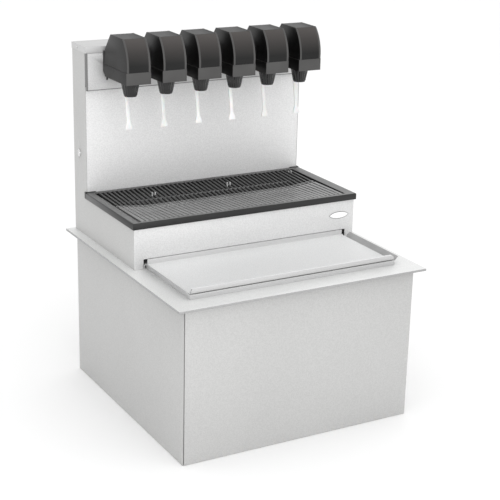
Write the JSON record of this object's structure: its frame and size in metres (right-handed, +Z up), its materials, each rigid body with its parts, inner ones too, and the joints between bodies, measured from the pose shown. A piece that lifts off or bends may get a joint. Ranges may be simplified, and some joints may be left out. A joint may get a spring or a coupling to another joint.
{
  "type": "fountain soda dispenser",
  "caption": "Drop-in fountain soda dispenser: insulated ice bin under a square flange, sliding lid, drip box with grille, and a tower carrying lever valves.",
  "frame": {"origin": "on the cabinet's underside, below the centre of the square flange", "axes": "+Z up, +Y from the front towards the tower, +X to the right as seen from the front"},
  "size_m": [0.5842, 0.5842, 0.803],
  "materials": {
    "cabinet_steel": "satin",
    "deck_steel": "satin",
    "splash_steel": "fine bead-blasted satin",
    "lid_steel": "satin",
    "liner_steel": "satin",
    "foam": "matt foam",
    "cast_aluminium": "as cast",
    "gasket_rubber": "matt",
    "cover_plastic": "fine moulded grain",
    "valve_plastic": "fine moulded grain",
    "nozzle_plastic": "gloss",
    "lever_plastic": "semi-translucent white",
    "grille_plastic": "satin black",
    "badge_plate": "gloss white with a grey edge",
    "hardware": "bright",
    "inner_plastic": "matt",
    "transformer_paint": "satin enamel"
  },
  "bodies": {
    "root": {"shell_front": "cabinet_steel", "shell_wrap": "cabinet_steel", "bottom_pan": "cabinet_steel", "foam_insulation": "foam", "bin_liner": "liner_steel", "cold_plate": "cast_aluminium", "deck_flange": "deck_steel", "counter_gasket": "gasket_rubber", "bin_collar": "deck_steel", "lid_rails": "deck_steel", "box_front": "cabinet_steel", "tower_side_right": "cabinet_steel", "tower_side_left": "cabinet_steel", "splash_panel": "splash_steel", "valve_panel": "deck_steel", "tower_cap": "deck_steel", "rear_panel": "cabinet_steel", "cord_gland": "inner_plastic", "drip_pan": "liner_steel", "drip_drain_tube": "inner_plastic", "bin_drain_fitting": "liner_steel", "badge": "badge_plate", "lock_body": "hardware", "transformer": "transformer_paint", "product_tubes": "hardware", "soda_manifold": "hardware", "panel_screws": "hardware", "valve_mounts": "cover_plastic", "solenoids": "hardware", "flow_controls": "hardware", "microswitches": "valve_plastic", "diffusers": "valve_plastic", "lever_pins": "hardware", "valve_body_1": "valve_plastic", "valve_body_2": "valve_plastic", "valve_body_3": "valve_plastic", "valve_body_4": "valve_plastic", "valve_body_5": "valve_plastic", "valve_body_6": "valve_plastic"},
    "lid": {"ice_bin_lid": "lid_steel"},
    "cup_rest": {"cup_rest": "grille_plastic"},
    "lock": {"lock_cylinder": "hardware"},
    "cover_1": {"valve_cover_1": "cover_plastic"},
    "nozzle_1": {"nozzle_1": "nozzle_plastic"},
    "lever_1": {"lever_1": "lever_plastic"},
    "cover_2": {"valve_cover_2": "cover_plastic"},
    "nozzle_2": {"nozzle_2": "nozzle_plastic"},
    "lever_2": {"lever_2": "lever_plastic"},
    "cover_3": {"valve_cover_3": "cover_plastic"},
    "nozzle_3": {"nozzle_3": "nozzle_plastic"},
    "lever_3": {"lever_3": "lever_plastic"},
    "cover_4": {"valve_cover_4": "cover_plastic"},
    "nozzle_4": {"nozzle_4": "nozzle_plastic"},
    "lever_4": {"lever_4": "lever_plastic"},
    "cover_5": {"valve_cover_5": "cover_plastic"},
    "nozzle_5": {"nozzle_5": "nozzle_plastic"},
    "lever_5": {"lever_5": "lever_plastic"},
    "cover_6": {"valve_cover_6": "cover_plastic"},
    "nozzle_6": {"nozzle_6": "nozzle_plastic"},
    "lever_6": {"lever_6": "lever_plastic"}
  },
  "joints": [
    {"name": "lid_slide", "type": "slide", "parent": "root", "child": "lid", "axis": [0, 1, 0], "range_m": [0, 0.195]},
    {"name": "cup_rest_lift", "type": "slide", "parent": "root", "child": "cup_rest", "axis": [0, 0, 1], "range_m": [0, 0.12]},
    {"name": "lock_turn", "type": "hinge", "parent": "root", "child": "lock", "pos_m": [-0.271, 0.2539, 0.528], "axis": [1, 0, 0], "range_deg": [0, 90]},
    {"name": "cover_1_lift", "type": "slide", "parent": "root", "child": "cover_1", "axis": [0, 0, 1], "range_m": [0, 0.08]},
    {"name": "nozzle_1_twist", "type": "hinge", "parent": "root", "child": "nozzle_1", "pos_m": [-0.209, 0.1149, 0.691], "axis": [0, 0, 1], "range_deg": [0, 60]},
    {"name": "lever_1_push", "type": "hinge", "parent": "root", "child": "lever_1", "pos_m": [-0.209, 0.1399, 0.715], "axis": [1, 0, 0], "range_deg": [0, 12], "stiffness_Nm_per_rad": 0.03, "springref_deg": -17.19},
    {"name": "cover_2_lift", "type": "slide", "parent": "root", "child": "cover_2", "axis": [0, 0, 1], "range_m": [0, 0.08]},
    {"name": "nozzle_2_twist", "type": "hinge", "parent": "root", "child": "nozzle_2", "pos_m": [-0.1254, 0.1149, 0.691], "axis": [0, 0, 1], "range_deg": [0, 60]},
    {"name": "lever_2_push", "type": "hinge", "parent": "root", "child": "lever_2", "pos_m": [-0.1254, 0.1399, 0.715], "axis": [1, 0, 0], "range_deg": [0, 12], "stiffness_Nm_per_rad": 0.03, "springref_deg": -17.19},
    {"name": "cover_3_lift", "type": "slide", "parent": "root", "child": "cover_3", "axis": [0, 0, 1], "range_m": [0, 0.08]},
    {"name": "nozzle_3_twist", "type": "hinge", "parent": "root", "child": "nozzle_3", "pos_m": [-0.0418, 0.1149, 0.691], "axis": [0, 0, 1], "range_deg": [0, 60]},
    {"name": "lever_3_push", "type": "hinge", "parent": "root", "child": "lever_3", "pos_m": [-0.0418, 0.1399, 0.715], "axis": [1, 0, 0], "range_deg": [0, 12], "stiffness_Nm_per_rad": 0.03, "springref_deg": -17.19},
    {"name": "cover_4_lift", "type": "slide", "parent": "root", "child": "cover_4", "axis": [0, 0, 1], "range_m": [0, 0.08]},
    {"name": "nozzle_4_twist", "type": "hinge", "parent": "root", "child": "nozzle_4", "pos_m": [0.0418, 0.1149, 0.691], "axis": [0, 0, 1], "range_deg": [0, 60]},
    {"name": "lever_4_push", "type": "hinge", "parent": "root", "child": "lever_4", "pos_m": [0.0418, 0.1399, 0.715], "axis": [1, 0, 0], "range_deg": [0, 12], "stiffness_Nm_per_rad": 0.03, "springref_deg": -17.19},
    {"name": "cover_5_lift", "type": "slide", "parent": "root", "child": "cover_5", "axis": [0, 0, 1], "range_m": [0, 0.08]},
    {"name": "nozzle_5_twist", "type": "hinge", "parent": "root", "child": "nozzle_5", "pos_m": [0.1254, 0.1149, 0.691], "axis": [0, 0, 1], "range_deg": [0, 60]},
    {"name": "lever_5_push", "type": "hinge", "parent": "root", "child": "lever_5", "pos_m": [0.1254, 0.1399, 0.715], "axis": [1, 0, 0], "range_deg": [0, 12], "stiffness_Nm_per_rad": 0.03, "springref_deg": -17.19},
    {"name": "cover_6_lift", "type": "slide", "parent": "root", "child": "cover_6", "axis": [0, 0, 1], "range_m": [0, 0.08]},
    {"name": "nozzle_6_twist", "type": "hinge", "parent": "root", "child": "nozzle_6", "pos_m": [0.209, 0.1149, 0.691], "axis": [0, 0, 1], "range_deg": [0, 60]},
    {"name": "lever_6_push", "type": "hinge", "parent": "root", "child": "lever_6", "pos_m": [0.209, 0.1399, 0.715], "axis": [1, 0, 0], "range_deg": [0, 12], "stiffness_Nm_per_rad": 0.03, "springref_deg": -17.19}
  ]
}
